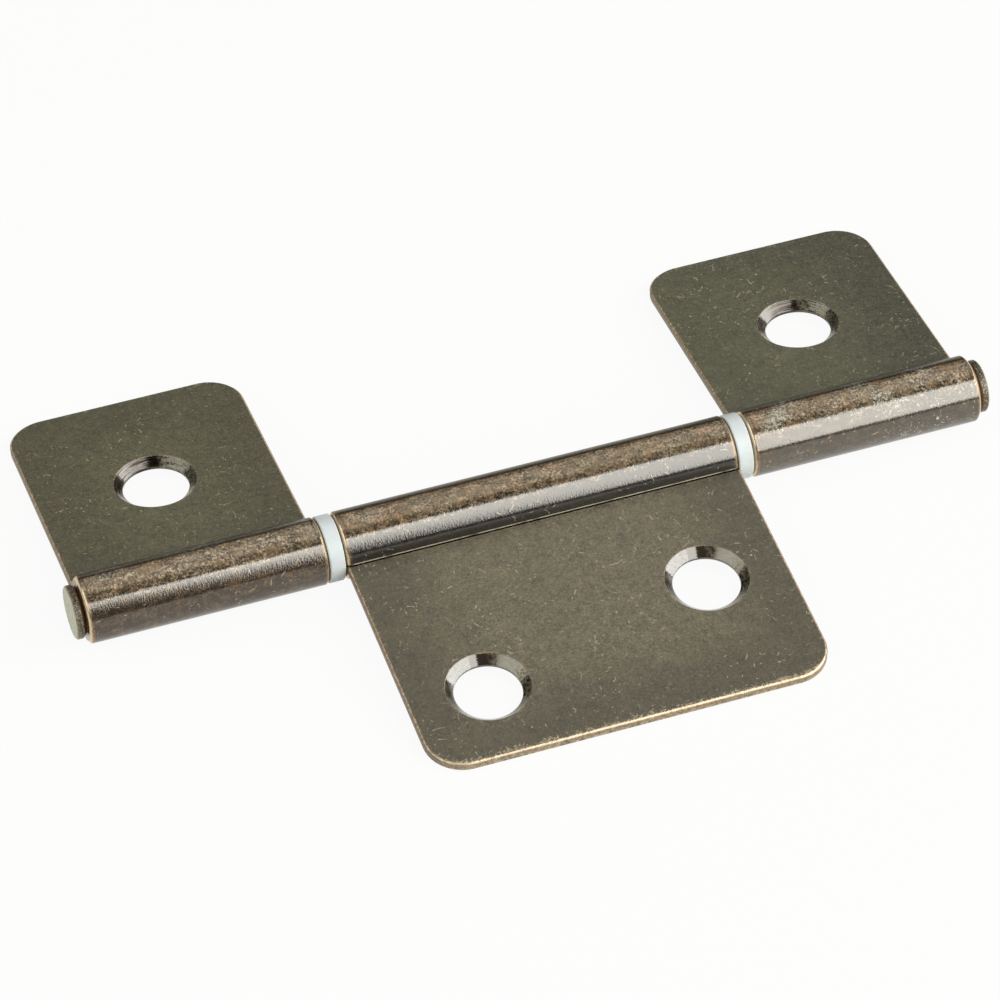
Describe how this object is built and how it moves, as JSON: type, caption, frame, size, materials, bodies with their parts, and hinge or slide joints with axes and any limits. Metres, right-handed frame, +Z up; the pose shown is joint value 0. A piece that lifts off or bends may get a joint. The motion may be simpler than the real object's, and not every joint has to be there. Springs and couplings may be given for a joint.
{
  "type": "non-mortise hinge",
  "caption": "Three-leaf non-mortise hinge: rolled sheet leaves with countersunk screw holes turn on one headed pin, with pale spacer washers between the knuckles.",
  "frame": {"origin": "on the pin's axis, midway between the two ends of the barrel", "axes": "+X along the pin, +Y towards the two outer leaves, +Z up out of the countersunk faces"},
  "size_m": [0.078, 0.0496, 0.0056],
  "materials": {
    "bronzed_leaf": "antique bronze plating, satin, worn to copper at the edges",
    "pin_metal": "dull grey bronze plating",
    "nylon": "natural nylon, smooth"
  },
  "bodies": {
    "center": {"center_leaf": "bronzed_leaf", "hinge_pin": "pin_metal", "left_washer": "nylon", "right_washer": "nylon"},
    "left": {"left_leaf": "bronzed_leaf"},
    "right": {"right_leaf": "bronzed_leaf"}
  },
  "joints": [
    {"name": "left_leaf_turn", "type": "hinge", "parent": "center", "child": "left", "pos_m": [-0.02812, 0, 0], "axis": [1, 0, 0], "continuous": true},
    {"name": "right_leaf_turn", "type": "hinge", "parent": "center", "child": "right", "pos_m": [0.02812, 0, 0], "axis": [1, 0, 0], "continuous": true}
  ]
}
